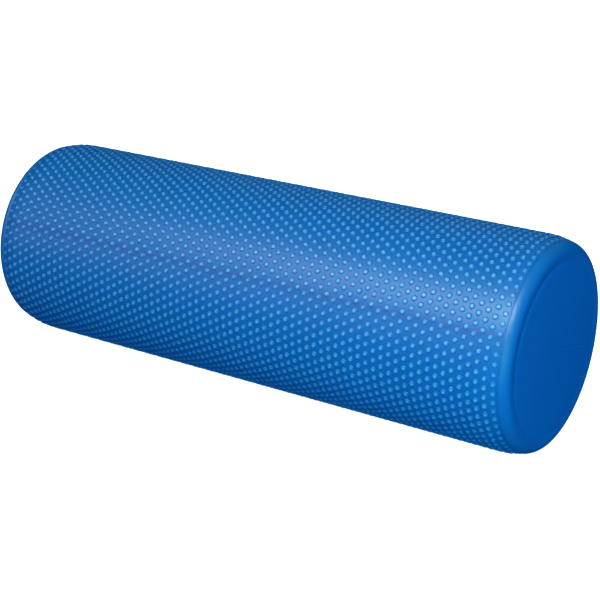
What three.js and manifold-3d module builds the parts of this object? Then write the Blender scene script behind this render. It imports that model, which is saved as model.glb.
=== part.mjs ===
// A foam roller for massage and exercise, lying on its side.
//
// Units are millimetres and +Z is up. The roller's axis runs along X, and the origin is on the floor
// under the middle of the roller. The front of the roller faces -Y.
//
// Two half-round foam blocks are bonded into a solid core. Two half shells of embossed skin cover
// its side and roll over its shoulders, and a thin disc closes each end inside the skin's rim.

import * as THREE from "three";
import { mergeVertices } from "three/addons/utils/BufferGeometryUtils.js";
import Module from "manifold-3d";

const wasm = await Module();
wasm.setup();

// Driving dimensions
const LENGTH = 450;
const DIAMETER = 154; // over the tips of the bumps
const SKIN_THICKNESS = 3; // of the skin and of the end discs
const GLUE_GAP = 0.3; // between any two bonded pieces
const CREASE_RADIUS = 62; // of the round crease between the skin's rim and the end disc

// The shoulder is a quarter of a superellipse between the side and the end
const SHOULDER_LENGTH = 25; // along the axis
const SHOULDER_DROP = 9.5; // towards the axis
const SHOULDER_POWER = 2.4; // 2 would be an ellipse, and more is squarer
const SHOULDER_STEPS = 7;

// The joints between the halves are planes through the axis, higher at the front than at the back
const SKIN_SEAM_TILT = 24; // degrees from the horizontal
const CORE_BOND_TILT = 15.3;

// The side is a polygon whose flats touch the true cylinder, and one flat lies on the floor
const FLATS = 32;
const FLAT_TO_CORNER = 1 / Math.cos(Math.PI / FLATS);

const SKIN_BLUE = 0x075bab;
const END_BLUE = 0x064f9f;
const CORE_BLUE = 0x2a72b8;

const RADIUS = DIAMETER / 2;
const HALF_LENGTH = LENGTH / 2;
const CORE_INSET = SKIN_THICKNESS + GLUE_GAP;

/**
 * The outline of one shoulder, from the rim on the end to the straight side, as [radius, x] pairs.
 * The inset moves it inwards, and it keeps the rim's radius.
 */
function shoulderOutline(inset) {
  const length = SHOULDER_LENGTH - inset;
  const drop = SHOULDER_DROP - inset;
  const outline = [];
  for (let step = 0; step <= SHOULDER_STEPS; step += 1) {
    const turn = (step / SHOULDER_STEPS) * (Math.PI / 2);
    const along = length * Math.cos(turn) ** (2 / SHOULDER_POWER);
    const across = drop * Math.sin(turn) ** (2 / SHOULDER_POWER);
    outline.push([RADIUS - SHOULDER_DROP + across, HALF_LENGTH - SHOULDER_LENGTH + along]);
  }
  return outline;
}

/** The mirror image of the right end's outline, then that outline: from end to end along +X. */
function bothEnds(outline) {
  const mirrored = outline.map(([radius, x]) => [radius, -x]);
  return [...mirrored, ...outline.toReversed()];
}

/** Turns a closed outline of [radius, x] pairs about the roller's axis. */
function turned(outline) {
  const points = outline.map(([radius, x]) => new THREE.Vector2(radius * FLAT_TO_CORNER, x));
  const geometry = new THREE.LatheGeometry(points, FLATS, Math.PI / FLATS);
  return geometry.rotateZ(-Math.PI / 2);
}

/** A manifold-3d solid from a closed geometry, without the triangles that shrink to a line. */
function toSolid(geometry) {
  geometry.deleteAttribute("normal");
  geometry.deleteAttribute("uv");
  const merged = mergeVertices(geometry);
  const triangles = [];
  for (let i = 0; i < merged.index.count; i += 3) {
    const corners = [0, 1, 2].map((k) => merged.index.getX(i + k));
    if (new Set(corners).size === 3) {
      triangles.push(...corners);
    }
  }
  return new wasm.Manifold(new wasm.Mesh({
    numProp: 3,
    vertProperties: merged.attributes.position.array,
    triVerts: Uint32Array.from(triangles),
  }));
}

/** A named mesh from a manifold-3d solid. */
function toMesh(name, solid, material) {
  const { vertProperties, triVerts } = solid.getMesh();
  const geometry = new THREE.BufferGeometry();
  geometry.setAttribute("position", new THREE.BufferAttribute(vertProperties, 3));
  geometry.setIndex(new THREE.BufferAttribute(triVerts, 1));
  geometry.computeVertexNormals();
  const mesh = new THREE.Mesh(geometry, material);
  mesh.name = name;
  return mesh;
}

/** A block that holds all above (side 1) or below (side -1) a tilted plane through the axis. */
function halfSpace(tilt, side) {
  const block = new THREE.BoxGeometry(2 * LENGTH, 2 * DIAMETER, DIAMETER);
  block.translate(0, 0, side * (DIAMETER + GLUE_GAP) / 2);
  block.rotateX(-THREE.MathUtils.degToRad(tilt));
  return toSolid(block);
}

/** The upper and lower halves of a solid, as two meshes. */
function halves(name, solid, tilt, material) {
  return [
    toMesh(`${name}_upper_half`, solid.intersect(halfSpace(tilt, 1)), material),
    toMesh(`${name}_lower_half`, solid.intersect(halfSpace(tilt, -1)), material.clone()),
  ];
}

/** The whole skin: a shell open at each end inside the crease. */
function skinSolid() {
  const innerEnd = HALF_LENGTH - SKIN_THICKNESS;
  const outside = [[CREASE_RADIUS, HALF_LENGTH], ...shoulderOutline(0)];
  const inside = [[CREASE_RADIUS, innerEnd], ...shoulderOutline(SKIN_THICKNESS)];
  const outline = [...bothEnds(outside), ...bothEnds(inside).toReversed()];
  return toSolid(turned([...outline, outline[0]]));
}

/** The whole core: a solid body that fills the skin up to the glue line. */
function coreSolid() {
  const end = [0, HALF_LENGTH - CORE_INSET];
  return toSolid(turned(bothEnds([end, ...shoulderOutline(CORE_INSET)])));
}

/** The flat disc at one end (side 1 or -1), flush with the skin's rim. */
function endDisc(name, side, material) {
  const radius = (CREASE_RADIUS - GLUE_GAP) * FLAT_TO_CORNER;
  const geometry = new THREE.CylinderGeometry(
    radius, radius, SKIN_THICKNESS, FLATS, 1, false, Math.PI / FLATS);
  geometry.rotateZ(-Math.PI / 2);
  const disc = new THREE.Mesh(geometry, material);
  disc.name = name;
  disc.position.x = side * (HALF_LENGTH - SKIN_THICKNESS / 2);
  return disc;
}

function foam(color, roughness) {
  return new THREE.MeshStandardMaterial({ color, roughness, metalness: 0 });
}

const roller = new THREE.Group();
roller.add(...halves("skin", skinSolid(), SKIN_SEAM_TILT, foam(SKIN_BLUE, 0.4)));
roller.add(...halves("core", coreSolid(), CORE_BOND_TILT, foam(CORE_BLUE, 0.9)));
roller.add(endDisc("end_disc_right", 1, foam(END_BLUE, 0.5)));
roller.add(endDisc("end_disc_left", -1, foam(END_BLUE, 0.5)));
roller.position.z = RADIUS;

export default roller;
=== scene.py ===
"""The looks of the foam roller: its embossed skin, end discs and foam core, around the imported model.

The roller's axis runs along X and the front faces -Y. Lengths in the mesh code are millimetres, and
they are turned into metres when a mesh is made. An angle round the axis starts at +Y: 90 degrees is
the top, 180 the front and 270 the bottom.
"""

import math

import bmesh
import bpy
import numpy as np
from mathutils import Matrix, Vector


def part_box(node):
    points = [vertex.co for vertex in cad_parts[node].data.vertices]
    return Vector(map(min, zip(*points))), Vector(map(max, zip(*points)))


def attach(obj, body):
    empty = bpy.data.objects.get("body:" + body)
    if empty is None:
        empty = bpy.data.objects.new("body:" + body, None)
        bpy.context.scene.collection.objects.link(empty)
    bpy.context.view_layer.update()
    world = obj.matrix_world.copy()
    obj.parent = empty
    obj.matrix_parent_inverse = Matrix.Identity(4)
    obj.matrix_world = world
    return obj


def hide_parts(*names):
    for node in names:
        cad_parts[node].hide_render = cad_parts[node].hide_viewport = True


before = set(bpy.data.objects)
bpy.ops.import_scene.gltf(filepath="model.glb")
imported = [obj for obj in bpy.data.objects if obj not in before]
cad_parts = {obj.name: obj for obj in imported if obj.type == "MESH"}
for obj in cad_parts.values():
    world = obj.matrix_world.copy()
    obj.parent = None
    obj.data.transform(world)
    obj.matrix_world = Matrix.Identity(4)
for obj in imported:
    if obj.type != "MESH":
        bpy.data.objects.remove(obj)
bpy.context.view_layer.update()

MM = 0.001
SEED = 7
SHARP_ANGLE = 45  # degrees: an edge that turns more than this is crisp

# The roller's outer form, the same as the CAD
low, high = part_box("skin_upper_half")
HALF_LENGTH = 0.5 * (high.x - low.x) / MM
RADIUS = 77.0  # over the tips of the bumps
SKIN_THICKNESS = 3.0
GLUE_GAP = 0.3
CREASE_RADIUS = 62.0
SHOULDER_LENGTH = 25.0
SHOULDER_DROP = 9.5
SHOULDER_POWER = 2.4
CORE_BOND_TILT = 15.3  # degrees
AXIS_HEIGHT = RADIUS
INNER_END = HALF_LENGTH - SKIN_THICKNESS  # where the rim and the end discs stop

# The grid of bumps. A bump sits where column + row is even, and a half step is one column or row
COLUMN_STEP = 5.99
ROW_STEP = 360.0 / 138.0  # degrees
FIRST_ROW = 165.25  # degrees, of row 0
LAST_COLUMN = 36
COLUMNS = range(-LAST_COLUMN, LAST_COLUMN + 1)
FRONT_SEAM_ROW = -4  # the seam lies between this row and the next one
ROWS_PER_HALF = 69

# The bumps and the foam between them
BUMP_RADIUS = 2.2
BUMP_HEIGHT = 0.85
BODY_DEPTH = 0.85  # of the surface between the bumps, under the tips
# A bump's rings of points: share of its radius, share of its height, count, and lean in degrees
BUMP_RINGS = ((0.0, 1.0, 1, 0), (0.5, 0.93, 6, 6), (0.82, 0.7, 12, 30), (1.0, 0.0, 12, 62))
HEIGHT_SPREAD = 0.03
RADIUS_SPREAD = 0.02
END_BUMP_HEIGHT, END_BUMP_SPREAD = 0.72, 0.1  # the last column is low and uneven
END_BUMP_RADIUS = 0.93
SEAM_BUMP_HEIGHT = 0.85  # the row under the front seam is lower
END_BUMP_SHINE, SEAM_BUMP_SHINE = 0.95, 0.96  # how strong the painted highlight on their tops is

# The seams between the two halves, with the very low ridge that they meet along
SEAM_LOW, SEAM_HIGH = 0.32, 0.66  # share of a row, by turns, as the seam waves between the bumps
SEAM_DEPTH = 0.12
SEAM_GAP = 0.02
HALF_SEAM_GAP = math.degrees(0.5 * SEAM_GAP / RADIUS) / ROW_STEP  # in rows
RIDGE_HEIGHT = 0.25
RIDGE_WIDTH = 5.0
RIDGE_END = 8.0  # from the end of the roller
RIDGE_FADE = 15.0

# The end face, which lies a little inside the rim, and the crease round it
FACE_INSET = 0.25
FACE_EDGE, FACE_EDGE_WIDTH = 66.8, 4.8  # the rim slopes in from this radius, over this width
CREASE_DEPTH = 0.5
CREASE_WIDTH = 2.3
CREASE_FRONT = 128.0  # degrees, where the crease is deepest
CREASE_SHALLOW = 0.1  # share of its depth on the opposite side


def link(name, data):
    """A new object in the scene."""
    thing = bpy.data.objects.new(name, data)
    bpy.context.scene.collection.objects.link(thing)
    return thing


# ---------------------------------------------------------------- camera
def look_from(position, azimuth, elevation):
    """A camera matrix at a place, looking down along an azimuth and an elevation in degrees."""
    az, el = math.radians(azimuth), math.radians(elevation)
    back = Vector((math.sin(az) * math.cos(el), -math.cos(az) * math.cos(el), math.sin(el)))
    right = Vector((0, 0, 1)).cross(back).normalized()
    up = back.cross(right)
    matrix = Matrix((right, up, back)).transposed().to_4x4()
    matrix.translation = position
    return matrix


camera_data = bpy.data.cameras.new("camera")
camera_data.lens = 92.26
camera_data.sensor_width = 36.0
camera = link("camera", camera_data)
camera.matrix_world = look_from(Vector((0.6195, -0.8965, 0.4798)), 33.98, 20.83)
bpy.context.scene.camera = camera


# ---------------------------------------------------------------- the roller's outer form
def side_radius(x, inset=0.0):
    """The radius of the roller's outline at x, or of the outline that lies inset inside it."""
    along = (np.abs(x) - (HALF_LENGTH - SHOULDER_LENGTH)) / (SHOULDER_LENGTH - inset)
    across = (1 - np.clip(along, 0, 1) ** SHOULDER_POWER) ** (1 / SHOULDER_POWER)
    return RADIUS - SHOULDER_DROP + (SHOULDER_DROP - inset) * across


def side_slope(x):
    """How much the outline's radius changes for each millimetre along x."""
    step = 0.05
    change = side_radius(np.abs(x) + step) - side_radius(np.abs(x) - step)
    return np.sign(x) * change / (2 * step)


def side_points(x, depth):
    """Points (x, radius) at a depth under the outline, square to it."""
    slope = side_slope(x)
    scale = 1 / np.sqrt(1 + slope**2)
    return x + depth * slope * scale, side_radius(x) - depth * scale


def shoulder_point(turn, inset=0.0):
    """(x, radius) on the shoulder: turn is 90 degrees at the side and 0 at the end."""
    angle = math.radians(turn)
    along = (SHOULDER_LENGTH - inset) * math.cos(angle) ** (2 / SHOULDER_POWER)
    across = (SHOULDER_DROP - inset) * math.sin(angle) ** (2 / SHOULDER_POWER)
    return HALF_LENGTH - SHOULDER_LENGTH + along, RADIUS - SHOULDER_DROP + across


def row_angle(row):
    return np.radians(FIRST_ROW + np.asarray(row, float) * ROW_STEP)


def around(x, radius, angle):
    """Points in space, in millimetres, from (x, radius) and the angle round the axis."""
    height = AXIS_HEIGHT + radius * np.sin(angle)
    return np.stack([x + 0 * angle, radius * np.cos(angle), height], -1)


def seam_ridge(x, row):
    """Height of the low ridge along the seams, and how it slopes with the angle round the axis."""
    per_row = math.radians(ROW_STEP) * RADIUS
    half = ROWS_PER_HALF / 2
    off = (np.mod(row - FRONT_SEAM_ROW - 0.5 + half, ROWS_PER_HALF) - half) * per_row
    fade = np.clip((HALF_LENGTH - RIDGE_END - np.abs(x)) / RIDGE_FADE, 0, 1)
    height = fade * RIDGE_HEIGHT * np.exp(-np.abs(off) / RIDGE_WIDTH)
    return height, -np.sign(off) * height / RIDGE_WIDTH


def side_surface(x, row, depth):
    """Points on the side at a depth under the tips, with the directions out, along and around."""
    x, row, depth = np.broadcast_arrays(x, row, depth)
    angle = row_angle(row)
    rise, lean = seam_ridge(x, row)
    slope = side_slope(x)[..., None]
    radial = np.stack([0 * angle, np.cos(angle), np.sin(angle)], -1)
    turning = np.stack([0 * angle, -np.sin(angle), np.cos(angle)], -1)
    axis = np.array([1.0, 0.0, 0.0])
    out = radial - slope * axis - lean[..., None] * turning
    along = axis + slope * radial
    return (around(*side_points(x, depth - rise), angle),
            out / np.linalg.norm(out, axis=-1, keepdims=True),
            along / np.linalg.norm(along, axis=-1, keepdims=True), turning)


def crease_back(radius, angle):
    """How far the end lies in from the end plane, on the rim and near the crease."""
    step = np.clip((FACE_EDGE - radius) / FACE_EDGE_WIDTH, 0, 1)
    facing = 0.5 + 0.5 * np.cos(angle - math.radians(CREASE_FRONT))
    depth = CREASE_DEPTH * (CREASE_SHALLOW + (1 - CREASE_SHALLOW) * facing**3)
    groove = depth * np.exp(-((radius - CREASE_RADIUS) / CREASE_WIDTH) ** 2)
    return FACE_INSET * step * step * (3 - 2 * step) + groove


class Builder:
    """Collects the points and faces of one closed body."""

    def __init__(self):
        self.points, self.faces, self.count = [], [], 0
        self.marks = {"relief": [], "end": [], "seam": []}
        self.smooth = []  # (first face, one past the last face, normals by point number)

    def add(self, points, relief=0.0, end=0.0, seam=0.0):
        """Adds points, and returns their numbers in the same shape.

        The marks guide the colours. Relief is 0 between the bumps and 1 on their tops, and sets the
        painted highlight on the tops. End is 0 on the side and 1 on the flat end.
        Seam is 1 where the two halves of the skin meet, and sets the painted shade along the seams.
        """
        points = np.asarray(points, float)
        shape = points.shape[:-1]
        total = math.prod(shape)
        self.points.append(points.reshape(-1, 3))
        for label, value in (("relief", relief), ("end", end), ("seam", seam)):
            self.marks[label].append(np.broadcast_to(value, shape).reshape(-1))
        numbers = np.arange(self.count, self.count + total).reshape(shape)
        self.count += total
        return numbers

    def triangles(self, *corners):
        self.faces.extend(np.stack(corners, -1).reshape(-1, 3).tolist())

    def quads(self, grid):
        """Faces between the neighbours of a two-way grid of point numbers."""
        faces = (grid[:-1, :-1], grid[1:, :-1], grid[1:, 1:], grid[:-1, 1:])
        self.faces.extend(np.stack(faces, -1).reshape(-1, 4).tolist())

    def fan(self, line, hub):
        """Triangles from each step of a line of points to one point."""
        self.triangles(line[:-1], line[1:], np.full(len(line) - 1, hub))

    def zipper(self, one, two, place_one, place_two):
        """A strip of triangles between two lines of points with different counts."""
        i = j = 0
        while i < len(one) - 1 or j < len(two) - 1:
            step_one = j == len(two) - 1 or (
                i < len(one) - 1 and place_one[i + 1] <= place_two[j + 1])
            if step_one:
                face = [one[i], one[i + 1], two[j]]
                i += 1
            else:
                face = [one[i], two[j + 1], two[j]]
                j += 1
            self.faces.append([int(n) for n in face])

    def build(self, name, material):
        mesh = bpy.data.meshes.new(name)
        mesh.from_pydata((np.concatenate(self.points) * MM).tolist(), [], self.faces)
        for label, values in self.marks.items():
            attribute = mesh.attributes.new(label, "FLOAT", "POINT")
            attribute.data.foreach_set("value", np.concatenate(values).astype(np.float32))
        facing = bmesh.new()
        facing.from_mesh(mesh)
        bmesh.ops.recalc_face_normals(facing, faces=facing.faces)
        facing.to_mesh(mesh)
        facing.free()
        mesh.polygons.foreach_set("use_smooth", [True] * len(mesh.polygons))
        mesh.set_sharp_from_angle(angle=math.radians(SHARP_ANGLE))
        if self.smooth:
            self.set_normals(mesh)
        mesh.materials.append(material)
        return link(name, mesh)

    def set_normals(self, mesh):
        """Gives the smooth faces their own normals. A normal of zero is left to Blender."""
        point = np.zeros(len(mesh.loops), int)
        mesh.loops.foreach_get("vertex_index", point)
        start = np.zeros(len(mesh.polygons), int)
        mesh.polygons.foreach_get("loop_start", start)
        normals = np.zeros((len(mesh.loops), 3))
        for first, last, by_point in self.smooth:
            part = slice(start[first], start[last])
            normals[part] = by_point[point[part]]
        mesh.normals_split_custom_set(normals.tolist())


# ---------------------------------------------------------------- skin
# The end of the skin past the last bumps: a soft step up, the smooth band, and the rim down to the
# crease. A step is (distance from the end, depth)
LIP = ((7.0, 0.86), (6.7, 0.74), (6.35, 0.5), (6.0, 0.26), (5.6, 0.1), (5.0, 0.02))
LIP_ROUGHNESS = 0.06
BAND_TURNS = (36, 31, 26, 21, 16, 12, 8, 4, 0)  # degrees round the shoulder
RIM_RADII = (66.4, 65.2, 64.2, 63.4, 62.8, 62.4, 62.02)
END_COLOUR_RADIUS, END_COLOUR_WIDTH = 73.5, 7.5  # where the end's colour begins, and its fade
# The outermost corners of the last cells: how far from the roller's end they lie, when they are two
# thirds of a column or one third past the last column, and how much deeper than the foam they are
BORDER_BACKS = {2: 7.0, 1: 7.5}
BORDER_DEPTH = 0.08

# The skin's inner face, which has fewer points than the outer one
INNER_ROWS = 24
INNER_SIDE_END = 217.4  # where its straight part stops
INNER_SHOULDER_TURN = 38  # degrees
INNER_RIM_RADII = (66.5, 65.5, 64.5)

# A bump's six-sided cell: its corners in thirds of a column and in rows from the bump
CELL_CORNERS = ((2, 0), (1, 1), (-1, 1), (-2, 0), (-1, -1), (1, -1))


def end_outline():
    """The skin's outer line (x, radius) past the last bumps, for the right end, without the rim."""
    line = [side_points(HALF_LENGTH - back, depth) for back, depth in LIP]
    return line + [shoulder_point(turn) for turn in BAND_TURNS]


def inner_outline():
    """The skin's inner line (x, radius) past the last bumps, with as many points as the outer one."""
    count = len(LIP) + len(BAND_TURNS) + len(RIM_RADII) + 1 - len(INNER_RIM_RADII)
    turns = np.linspace(INNER_SHOULDER_TURN, 0, count)
    line = [shoulder_point(turn, SKIN_THICKNESS) for turn in turns]
    return line + [(INNER_END, radius) for radius in INNER_RIM_RADII]


def seam_row(seam, column):
    """Where the front or back seam passes a column, as a row."""
    return seam + (SEAM_HIGH if (column - seam) % 2 == 0 else SEAM_LOW)


def seam_corner(seam, column, across):
    """The key of a cell corner that lies on a seam, left (-1) or right (1) of a column's middle."""
    return (3 * column + across, seam + 1 if (column - seam) % 2 == 0 else seam)


def add_bumps(body, column, row, rng):
    """Adds the bumps' points. Returns their rings, and their directions out over bump and foam."""
    at_end = np.abs(column) == LAST_COLUMN
    beside_seam = row == FRONT_SEAM_ROW + 1
    count = len(column)
    height = BUMP_HEIGHT * (1 - HEIGHT_SPREAD + HEIGHT_SPREAD * rng.uniform(-1, 1, count))
    height *= np.where(at_end, END_BUMP_HEIGHT + END_BUMP_SPREAD * rng.uniform(-1, 1, count), 1)
    height *= np.where(beside_seam, SEAM_BUMP_HEIGHT, 1)
    # shine sets how strong the painted highlight on a bump's top is
    shine = np.where(at_end, END_BUMP_SHINE, np.where(beside_seam, SEAM_BUMP_SHINE, 1.0))
    foot = BUMP_RADIUS * (1 + RADIUS_SPREAD * rng.uniform(-1, 1, count))
    foot *= np.where(at_end, END_BUMP_RADIUS, 1)
    column, row, height, shine, foot = (
        values[:, None] for values in (column, row, height, shine, foot))

    rings, bump_normals, flat_normals = [], [], []
    for ring_radius, ring_height, ring_count, ring_lean in BUMP_RINGS:
        turn = np.arange(ring_count) * (2 * np.pi / ring_count)
        reach = foot * ring_radius
        rows = row + reach * np.sin(turn) / RADIUS / math.radians(ROW_STEP)
        points, out, along, turning = side_surface(
            column * COLUMN_STEP + reach * np.cos(turn), rows, BODY_DEPTH - height * ring_height)
        rings.append(body.add(points, relief=shine * ring_height))
        lean = np.arctan(math.tan(math.radians(ring_lean)) * height / BUMP_HEIGHT)[..., None]
        outward = along * np.cos(turn)[:, None] + turning * np.sin(turn)[:, None]
        bump_normals.append((out * np.cos(lean) + outward * np.sin(lean)).reshape(-1, 3))
        flat_normals.append(out.reshape(-1, 3))
    return rings, np.concatenate(bump_normals), np.concatenate(flat_normals)


def add_corners(body, cells, seams):
    """Adds the corners that the cells share. Returns their numbers by key, and directions out.

    A key is a place in thirds of a column and in rows. A direction of zero is left to Blender.
    """
    keys = list(dict.fromkeys((3 * column + across, row + up)
                              for column, row in cells for across, up in CELL_CORNERS))
    seam_places = {seam_corner(seam, column, across): seam_row(seam, column) + gap
                   for seam, gap in zip(seams, (HALF_SEAM_GAP, -HALF_SEAM_GAP))
                   for column in COLUMNS for across in (-1, 1)}
    past_end = [abs(third) - 3 * LAST_COLUMN for third, _ in keys]
    x = [math.copysign(HALF_LENGTH - BORDER_BACKS[past], third) if past > 0
         else third / 3 * COLUMN_STEP for past, (third, _) in zip(past_end, keys)]
    rows = [seam_places.get(key, key[1]) for key in keys]
    on_seam = np.array([key in seam_places for key in keys])
    on_border = np.array(past_end) > 0
    depth = BODY_DEPTH + SEAM_DEPTH * on_seam + BORDER_DEPTH * on_border
    points, out, _, _ = side_surface(x, rows, depth)
    numbers = body.add(points, seam=on_seam)
    return dict(zip(keys, numbers.tolist())), out * ~(on_seam | on_border)[:, None]


def join_bumps(body, rings, corners):
    """Makes the faces of the bumps, and then of the foam between them, out to the cells' corners.

    Returns how many faces the bumps have.
    """
    centre, inner, middle, edge = rings
    sixths = [(m, (m + 1) % 6, 2 * m, 2 * m + 1, (2 * m + 2) % 12) for m in range(6)]
    for m, n, spoke, between, following in sixths:
        body.triangles(centre[:, 0], inner[:, m], inner[:, n])
        body.triangles(inner[:, m], middle[:, spoke], middle[:, between])
        body.triangles(inner[:, m], middle[:, between], inner[:, n])
        body.triangles(inner[:, n], middle[:, between], middle[:, following])
    for m in range(12):
        n = (m + 1) % 12
        body.triangles(middle[:, m], edge[:, m], edge[:, n])
        body.triangles(middle[:, m], edge[:, n], middle[:, n])
    bump_faces = len(body.faces)
    for m, n, spoke, between, following in sixths:
        body.triangles(edge[:, spoke], corners[:, m], edge[:, between])
        body.triangles(edge[:, between], corners[:, m], corners[:, n])
        body.triangles(edge[:, between], corners[:, n], edge[:, following])
    return bump_faces


def add_end(body, end, border, rows, rng):
    """The skin past the last bumps, from the border to the foot of the rim. End is 1 or -1."""
    angle = row_angle(rows)
    grid = [border]
    for number, (x, radius) in enumerate(end_outline()):
        uneven = LIP_ROUGHNESS * rng.normal(size=len(rows)) * (number <= len(LIP))
        end_colour = np.clip((END_COLOUR_RADIUS - radius) / END_COLOUR_WIDTH, 0, 1)
        grid.append(body.add(around(end * x, radius + uneven, angle), end=end_colour))
    for radius in RIM_RADII:
        x = HALF_LENGTH - crease_back(radius, angle)
        grid.append(body.add(around(end * x, radius, angle), end=1.0))
    grid.append(body.add(around(end * INNER_END, RIM_RADII[-1], angle), end=1.0))
    grid = np.array(grid)
    body.quads(grid)
    return grid


def add_inside(body, rows):
    """The inner face of the skin, as a grid from the left end to the right end."""
    thirds = np.array([column + across / 3 for column in COLUMNS for across in (-1, 1)])
    side_x = np.clip(thirds * COLUMN_STEP, -INNER_SIDE_END, INNER_SIDE_END)
    end_x, end_radius = np.array(inner_outline()).T
    x = np.concatenate([-end_x[::-1], side_x, end_x])
    radius = np.concatenate([end_radius[::-1], side_radius(side_x, SKIN_THICKNESS), end_radius])
    grid = body.add(around(x[:, None], radius[:, None], row_angle(rows)[None, :]))
    body.quads(grid)
    return grid


def skin_half(name, first_row, material, rng):
    """One half of the skin: its bumps, its two ends, its inner face and the walls at the seams."""
    last_row = first_row + ROWS_PER_HALF - 1
    seams = (first_row - 1, last_row)  # each lies between this row and the next one
    limits = (first_row - 0.5 + HALF_SEAM_GAP, last_row + 0.5 - HALF_SEAM_GAP)
    cells = [(column, row) for row in range(first_row, last_row + 1)
             for column in COLUMNS if (column + row) % 2 == 0]
    body = Builder()
    rings, bump_normals, flat_normals = add_bumps(body, *np.array(cells).T, rng)
    numbers, corner_normals = add_corners(body, cells, seams)
    corners = np.array([[numbers[(3 * column + across, row + up)] for across, up in CELL_CORNERS]
                        for column, row in cells])
    bump_faces = join_bumps(body, rings, corners)
    body.smooth = [(0, bump_faces, bump_normals),
                   (bump_faces, len(body.faces), np.concatenate([flat_normals, corner_normals]))]

    ends = {}
    for end in (-1, 1):
        border = [(end * (3 * LAST_COLUMN + (2 if row % 2 == 0 else 1)), row)
                  for row in range(first_row - 1, last_row + 2)]
        border = [key for key in border if key in numbers]
        rows = np.array([row for _, row in border], float)
        rows[[0, -1]] = limits
        ends[end] = (add_end(body, end, [numbers[key] for key in border], rows, rng), rows)

    # The inner face, the walls at the seams, and the strips that close the rims to the inner face
    inner_rows = np.linspace(*limits, INNER_ROWS)
    inside = add_inside(body, inner_rows)
    for seam, edge in zip(seams, (0, -1)):
        line = [numbers[seam_corner(seam, column, across)] for column in COLUMNS
                for across in (-1, 1)]
        outer = np.concatenate([ends[-1][0][:0:-1, edge], line, ends[1][0][1:, edge]])
        body.quads(np.stack([outer, inside[:, edge]]))
    for end, edge in ((-1, 0), (1, -1)):
        grid, rows = ends[end]
        body.zipper(grid[-1], inside[edge], rows, inner_rows)
    return body.build(name, material)


# ---------------------------------------------------------------- end discs
DISC_FLAT_RADIUS = 56.0
DISC_RADII = (57.4, 58.6, 59.6, 60.4, 61.0, 61.5, 61.98)  # of the rolled edge
DISC_TILT = math.radians(-CORE_BOND_TILT)
# The rows of points on the disc, in degrees round it, are closer together beside the bond's line
DISC_ROWS = np.concatenate([(0.0, 0.25, 0.5, 0.8, 1.2, 1.7), np.arange(3.0, 90.0, 2.6)])
DISC_ROW_POINTS = 33
BOND_DEPTH, BOND_WIDTH = 0.22, 0.55  # of the line where the core's bond shows through
BOND_START, BOND_FADE = -0.35, 0.6  # along the disc's radius: the line fades out to one side
BOND_WAVE, BOND_WAVE_LENGTH = 0.5, 17.0
SWELL = 0.1
SWELL_ALONG, SWELL_ACROSS, SWELL_PHASE = 21.0, 27.0, 0.8


def end_disc(name, end, material):
    """The disc at one end (1 or -1). Its rows of points run along the line of the core's bond."""
    body = Builder()
    angles = np.radians(np.concatenate([-DISC_ROWS[:0:-1], DISC_ROWS]))
    steps = np.linspace(-1, 1, DISC_ROW_POINTS)
    across = DISC_FLAT_RADIUS * np.sin(angles)[:, None] + 0 * steps
    along = DISC_FLAT_RADIUS * np.cos(angles)[:, None] * steps
    inside = 1 - (along**2 + across**2) / DISC_FLAT_RADIUS**2
    swell = SWELL * np.cos(along / SWELL_ALONG + SWELL_PHASE) * np.cos(across / SWELL_ACROSS) * inside
    fade = np.clip((along / DISC_FLAT_RADIUS - BOND_START) / BOND_FADE, 0, 1)
    dent = BOND_DEPTH * fade * np.exp(-((across / BOND_WIDTH) ** 2))
    x = HALF_LENGTH - FACE_INSET - dent + swell
    wave = BOND_WAVE * np.sin(along / BOND_WAVE_LENGTH) * (1 - (across / DISC_FLAT_RADIUS) ** 2)
    y = along * math.cos(DISC_TILT) - (across + wave) * math.sin(DISC_TILT)
    z = along * math.sin(DISC_TILT) + (across + wave) * math.cos(DISC_TILT)
    front = body.add(np.stack([end * x, y, AXIS_HEIGHT + z], -1), end=1.0)
    body.quads(front)
    quarter = np.array([math.pi / 2])
    poles = body.add(around(end * (HALF_LENGTH - FACE_INSET), DISC_FLAT_RADIUS,
                            DISC_TILT + np.concatenate([-quarter, quarter])), end=1.0)
    body.fan(front[0], poles[0])
    body.fan(front[-1], poles[1])

    # The rolled edge and the flat back
    rim = np.concatenate([poles[:1], front[:, -1], poles[1:], front[::-1, 0]])
    rim_angle = DISC_TILT + np.concatenate([-quarter, angles, quarter, np.pi - angles[::-1]])
    rings = [rim]
    for radius in DISC_RADII:
        x = HALF_LENGTH - crease_back(radius, rim_angle)
        rings.append(body.add(around(end * x, radius, rim_angle), end=1.0))
    rings.append(body.add(around(end * INNER_END, DISC_RADII[-1], rim_angle), end=1.0))
    rings = np.array(rings)
    rings = np.concatenate([rings, rings[:, :1]], axis=1)
    body.quads(rings)
    hub = body.add([(end * INNER_END, 0.0, AXIS_HEIGHT)], end=1.0)
    body.fan(rings[-1], hub[0])
    return body.build(name, material)


# ---------------------------------------------------------------- core
CORE_HUB_HEIGHT = 28.0  # of the middle of a half-round section, over the bond


def half_round(radius):
    """The outline of a half-round section, with slightly rounded corners, as (across, up) pairs."""
    flat = 0.5 * GLUE_GAP
    corner = [(radius - 0.9, flat), (radius - 0.25, flat + 0.2), (radius, flat + 0.8)]
    arc = [(radius * math.cos(turn), radius * math.sin(turn))
           for turn in np.linspace(math.pi / 48, math.pi * 47 / 48, 47)]
    half_flat = [(share * radius, flat) for share in (0.0, 0.25, 0.5, 0.75)]
    mirrored = [(-across, up) for across, up in (half_flat[1:] + corner)[::-1]]
    return half_flat + corner + arc + mirrored


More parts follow.
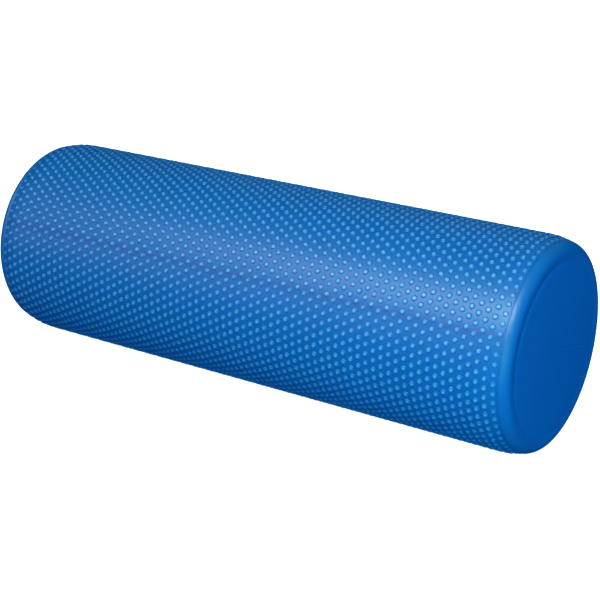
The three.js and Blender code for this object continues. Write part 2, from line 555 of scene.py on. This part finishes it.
def core_half(name, side, material):
    """A half-round block of foam: side is 1 above the bond, and -1 below it."""
    body = Builder()
    inset = SKIN_THICKNESS + GLUE_GAP
    end_x = HALF_LENGTH - inset
    hub = np.array([0.0, CORE_HUB_HEIGHT])
    # Each ring is a section of some radius, drawn in towards the hub on the flat ends
    stations = [(end_x, RADIUS - SHOULDER_DROP, share) for share in (0.4, 0.8, 0.97)]
    stations += [(*shoulder_point(turn, inset), 1.0) for turn in np.linspace(0, 90, 9)]
    stations += [(x, RADIUS - inset, 1.0) for x in (170.0, 120.0, 70.0, 20.0)]
    stations += [(-x, radius, share) for x, radius, share in stations[::-1]]
    turned = Matrix.Rotation(math.radians(-CORE_BOND_TILT) + (0 if side > 0 else math.pi), 2)
    rings = []
    for x, radius, share in stations:
        section = hub + share * (np.array(half_round(radius)) - hub)
        turned_points = [turned @ Vector(point) for point in section]
        ring = body.add([(x, y, AXIS_HEIGHT + z) for y, z in turned_points])
        rings.append(np.append(ring, ring[0]))
    body.quads(np.array(rings))
    hub_y, hub_z = turned @ Vector(hub)
    for ring, x in ((rings[0], end_x), (rings[-1], -end_x)):
        middle = body.add([(x, hub_y, AXIS_HEIGHT + hub_z)])
        body.fan(ring, middle[0])
    return body.build(name, material)


# ---------------------------------------------------------------- materials
SIDE_DEEP, SIDE_BRIGHT = (0.0, 0.080, 0.305), (0.0, 0.105, 0.36)
# The pale blue of the bump tops is a painted highlight, standing in for glints, and the dark blue of
# the seams is painted shade
TOP_HIGHLIGHT_BLUE, SEAM_SHADE_BLUE, END_BLUE = (0.12, 0.305, 0.61), (0.0, 0.045, 0.25), (0.0, 0.098, 0.40)
CORE_DEEP, CORE_BRIGHT = (0.01, 0.13, 0.45), (0.03, 0.20, 0.56)
TOP_POWER = 8.0  # how closely the painted highlight keeps to the tops of the bumps
CLOUD_SCALE, MOTTLE_SCALE, GRAIN_SCALE = 14.0, 230.0, 1500.0  # features in a metre
ROUGHNESS_SPREAD = 0.14


def foam_material(name, deep, bright, roughness, gloss, grain):
    """Foam mottled from deep to bright. On the skin, a painted highlight pales the tops of the bumps,
    painted shade darkens the seams, and the ends have their own blue.
    """
    material = bpy.data.materials.new(name)
    material.use_nodes = True
    nodes, links = material.node_tree.nodes, material.node_tree.links
    shader = nodes["Principled BSDF"]
    shader.inputs["Specular IOR Level"].default_value = gloss
    place = nodes.new("ShaderNodeTexCoord")

    def noise(scale, detail, rough):
        node = nodes.new("ShaderNodeTexNoise")
        node.inputs["Scale"].default_value = scale
        node.inputs["Detail"].default_value = detail
        node.inputs["Roughness"].default_value = rough
        links.new(place.outputs["Object"], node.inputs["Vector"])
        return node.outputs["Fac"]

    def math_node(operation, *values):
        node = nodes.new("ShaderNodeMath")
        node.operation = operation
        for socket, value in zip(node.inputs, values):
            if isinstance(value, (int, float)):
                socket.default_value = value
            else:
                links.new(value, socket)
        return node.outputs["Value"]

    def mix_colours(factor, one, two):
        node = nodes.new("ShaderNodeMix")
        node.data_type = "RGBA"
        links.new(factor, node.inputs["Factor"])
        for socket, value in (("A", one), ("B", two)):
            if isinstance(value, tuple):
                node.inputs[socket].default_value = (*value, 1)
            else:
                links.new(value, node.inputs[socket])
        return node.outputs["Result"]

    def mark(label):
        node = nodes.new("ShaderNodeAttribute")
        node.attribute_name = label
        return node.outputs["Fac"]

    cloud = noise(CLOUD_SCALE, 3.0, 0.5)
    mottle = noise(MOTTLE_SCALE, 3.0, 0.6)
    fine = noise(GRAIN_SCALE, 4.0, 0.65)
    # Each noise averages a half, so the tone averages about a third of the way to the bright colour
    tone = math_node("MULTIPLY_ADD", cloud, 0.6, -0.3)
    tone = math_node("MULTIPLY_ADD", mottle, 0.4, tone)
    tone = math_node("MULTIPLY_ADD", fine, 0.3, tone)
    # Painted highlight: the tops of the bumps are paler, standing in for glints
    painted_highlight_share = math_node("POWER", mark("relief"), TOP_POWER)
    # Painted shade: the seams are darker, standing in for the shade along the joint
    painted_seam_shade_share = math_node("MULTIPLY", mark("seam"), math_node("ADD", cloud, 0.2))
    end_share = math_node("MULTIPLY", mark("end"), math_node("MULTIPLY_ADD", mottle, -0.2, 1.0))
    colour = mix_colours(tone, deep, bright)
    colour = mix_colours(painted_highlight_share, colour, TOP_HIGHLIGHT_BLUE)
    colour = mix_colours(painted_seam_shade_share, colour, SEAM_SHADE_BLUE)
    colour = mix_colours(end_share, colour, END_BLUE)
    links.new(colour, shader.inputs["Base Color"])
    rough = math_node(
        "MULTIPLY_ADD", mottle, ROUGHNESS_SPREAD, roughness - 0.5 * ROUGHNESS_SPREAD)
    links.new(rough, shader.inputs["Roughness"])
    bump = nodes.new("ShaderNodeBump")
    bump.inputs["Distance"].default_value = grain * MM
    bump.inputs["Strength"].default_value = 0.6
    links.new(fine, bump.inputs["Height"])
    links.new(bump.outputs["Normal"], shader.inputs["Normal"])
    return material


skin_material = foam_material("embossed_skin", SIDE_DEEP, SIDE_BRIGHT, 0.41, 0.85, 0.05)
disc_material = foam_material("end_disc", SIDE_DEEP, SIDE_BRIGHT, 0.42, 0.5, 0.05)
core_material = foam_material("foam_core", CORE_DEEP, CORE_BRIGHT, 0.85, 0.3, 0.25)


# ---------------------------------------------------------------- pieces
rng = np.random.default_rng(SEED)
pieces = (
    (skin_half("skin_upper", FRONT_SEAM_ROW - ROWS_PER_HALF + 1, skin_material, rng),
     "skin_upper_half", "embossed_skin"),
    (skin_half("skin_lower", FRONT_SEAM_ROW + 1, skin_material, rng),
     "skin_lower_half", "embossed_skin"),
    (end_disc("disc_right", 1, disc_material), "end_disc_right", "end_disc"),
    (end_disc("disc_left", -1, disc_material), "end_disc_left", "end_disc"),
    (core_half("core_upper", 1, core_material), "core_upper_half", "foam_core"),
    (core_half("core_lower", -1, core_material), "core_lower_half", "foam_core"),
)
for piece, node, slot in pieces:
    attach(piece, "root")
    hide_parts(node)


# ---------------------------------------------------------------- stage
FLOOR_RADIUS, COVE, WALL_HEIGHT = 5.0, 1.5, 5.0  # metres
FLOOR_GLOW = 0.95
# The photo has almost no red in its blues, so most lights have little
KEY_TINT, LEFT_TINT, FILL_TINT = (0.73, 1.0, 0.73), (0.85, 0.84, 0.78), (0.3, 1.0, 0.87)
FRONT_TINT, END_TINT = (0.3, 1.0, 1.0), (0.05, 1.0, 0.93)
SKY_BLUE, SKY_STRENGTH = (0.09, 0.53, 1.0), 0.47


def stage_floor():
    """A round pale floor that curves up into a wall far behind the roller on every side."""
    turns = np.radians(np.arange(0, 360, 7.5))
    profile = [(FLOOR_RADIUS, 0.0)]
    profile += [(FLOOR_RADIUS + COVE * math.sin(rise), COVE * (1 - math.cos(rise)))
                for rise in np.radians((15, 30, 45, 60, 75, 90))]
    profile.append((FLOOR_RADIUS + COVE, WALL_HEIGHT))
    points = [(radius * math.cos(turn), radius * math.sin(turn), z)
              for radius, z in profile for turn in turns]
    count = len(turns)
    faces = [list(range(count))]
    faces += [(ring * count + (n + 1) % count, ring * count + n,
               (ring + 1) * count + n, (ring + 1) * count + (n + 1) % count)
              for ring in range(len(profile) - 1) for n in range(count)]
    mesh = bpy.data.meshes.new("floor")
    mesh.from_pydata(points, [], faces)
    mesh.polygons.foreach_set("use_smooth", [False] + [True] * (len(faces) - 1))
    material = bpy.data.materials.new("floor")
    material.use_nodes = True
    shader = material.node_tree.nodes["Principled BSDF"]
    shader.inputs["Base Color"].default_value = (0.92, 0.92, 0.92, 1)
    shader.inputs["Roughness"].default_value = 0.9
    shader.inputs["Specular IOR Level"].default_value = 0.0
    shader.inputs["Emission Color"].default_value = (1, 1, 1, 1)
    shader.inputs["Emission Strength"].default_value = FLOOR_GLOW
    mesh.materials.append(material)
    floor = link("floor", mesh)
    # The floor is as white as the photo's background, and doesn't wash out the roller's deep blue
    floor.visible_diffuse = False
    floor.visible_glossy = False


def area_light(name, place, target, size, power, colour=(1, 1, 1), reflected=True):
    data = bpy.data.lights.new(name, "AREA")
    data.shape = "RECTANGLE"
    data.size, data.size_y = size
    data.energy = power
    data.color = colour
    light = link(name, data)
    light.location = place
    light.rotation_euler = (Vector(target) - Vector(place)).to_track_quat("-Z", "Y").to_euler()
    light.visible_glossy = reflected


stage_floor()
# The lights that make the highlight along the roller
area_light("key", (-0.12, -0.77, 0.90), (0.2, 0, 0.08), (0.35, 0.42), 3.15, KEY_TINT)
area_light("key_left", (-0.50, -0.77, 0.90), (0, 0, 0.08), (0.4, 0.4), 1.85, LEFT_TINT)
area_light("glow", (0.42, -0.62, 0.76), (0.21, 0, 0.08), (0.55, 0.18), 5.0, KEY_TINT)
area_light("high", (-0.6, -0.35, 1.3), (0, 0, 0.08), (1.2, 0.4), 0.3, FILL_TINT)
area_light("sheen", (-1.3, -1.8, 0.6), (0, 0, 0.08), (1.8, 0.9), 3.0)
# The lights that only fill in
area_light("front", (0.8, -1.1, 0.1), (0.15, 0, 0.08), (0.8, 0.5), 12.0, FRONT_TINT, False)
area_light("end", (0.5, -0.42, 0.14), (0.225, 0, 0.07), (0.3, 0.3), 1.45, END_TINT, False)
area_light("top", (0.45, 0.35, 1.3), (0.2, 0, 0.08), (0.9, 0.9), 4.5, FILL_TINT, False)
area_light("back", (-0.4, 1.7, 1.0), (0, 0, 0.08), (1.5, 1.0), 10.0, reflected=False)
world = bpy.data.worlds.new("world")
bpy.context.scene.world = world
world.use_nodes = True
sky = world.node_tree.nodes["Background"]
sky.inputs["Color"].default_value = (*SKY_BLUE, 1)
sky.inputs["Strength"].default_value = SKY_STRENGTH
world.cycles_visibility.glossy = False
bpy.context.scene.view_settings.view_transform = "Standard"

bpy.context.view_layer.update()
